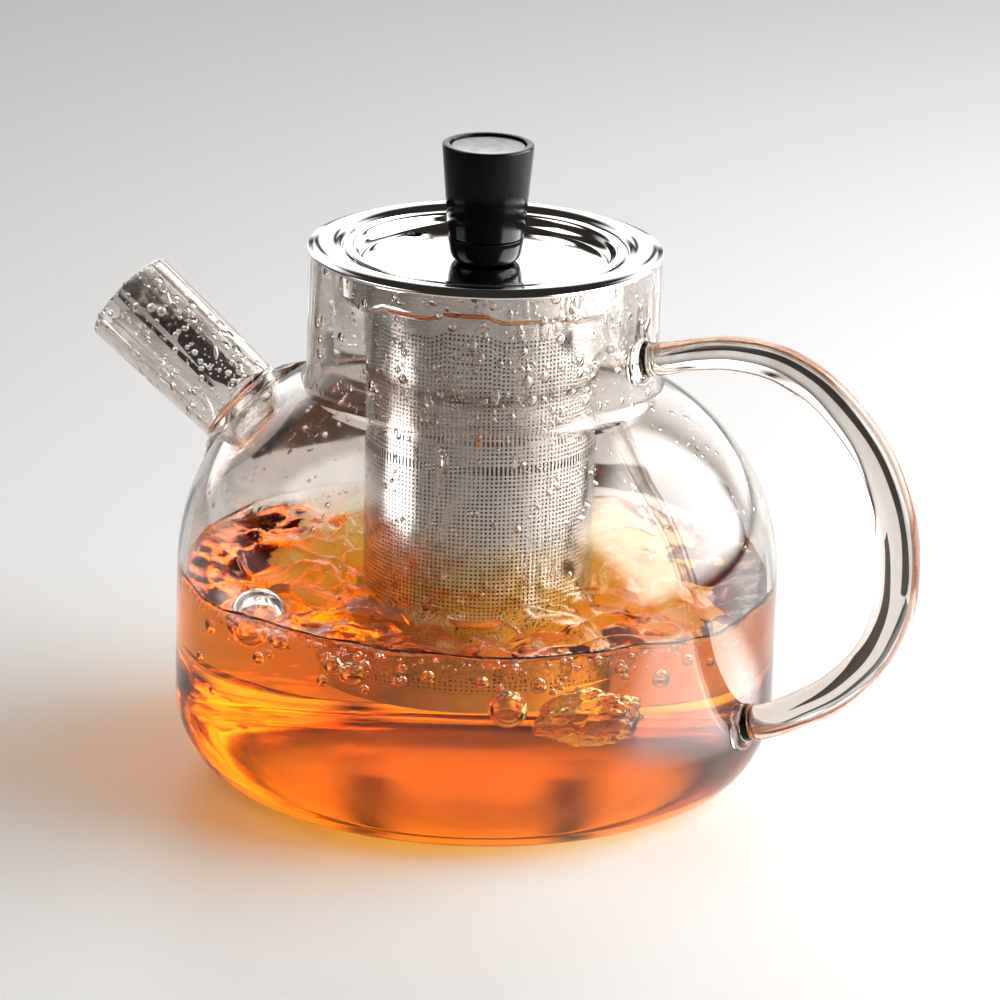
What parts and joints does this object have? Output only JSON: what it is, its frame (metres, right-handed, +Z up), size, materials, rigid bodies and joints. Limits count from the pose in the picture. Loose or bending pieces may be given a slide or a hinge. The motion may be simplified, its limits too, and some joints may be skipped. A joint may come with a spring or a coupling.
{
  "type": "glass teapot",
  "caption": "Round clear glass teapot with a straight spout, a glass rod handle, a lift-out perforated steel infuser and a nested steel lid with a black knob.",
  "frame": {"origin": "centre of the pot's flat base, on the surface it stands on", "axes": "+Z up along the pot's axis, +X towards the handle, -X towards the spout"},
  "size_m": [0.2069, 0.136, 0.1462],
  "materials": {
    "clear_glass": "clear polished borosilicate",
    "polished_steel": "mirror-polished stainless steel",
    "etched_steel": "etched stainless steel sheet",
    "black_plastic": "glossy moulded black",
    "disc_steel": "satin",
    "brass": "turned"
  },
  "bodies": {
    "pot": {"glass_body": "clear_glass", "glass_spout": "clear_glass", "glass_handle": "clear_glass"},
    "infuser": {"infuser_ring": "polished_steel", "infuser_tube": "etched_steel", "infuser_end": "etched_steel"},
    "lid": {"lid_pan": "polished_steel", "knob_foot": "black_plastic", "knob_grip": "black_plastic", "knob_disc": "disc_steel", "knob_insert": "brass", "knob_washer": "polished_steel", "knob_screw": "polished_steel"}
  },
  "joints": [
    {"name": "infuser_lift", "type": "slide", "parent": "pot", "child": "infuser", "axis": [0, 0, 1], "range_m": [0, 0.105]},
    {"name": "lid_lift", "type": "slide", "parent": "infuser", "child": "lid", "axis": [0, 0, 1], "range_m": [0, 0.05]}
  ]
}
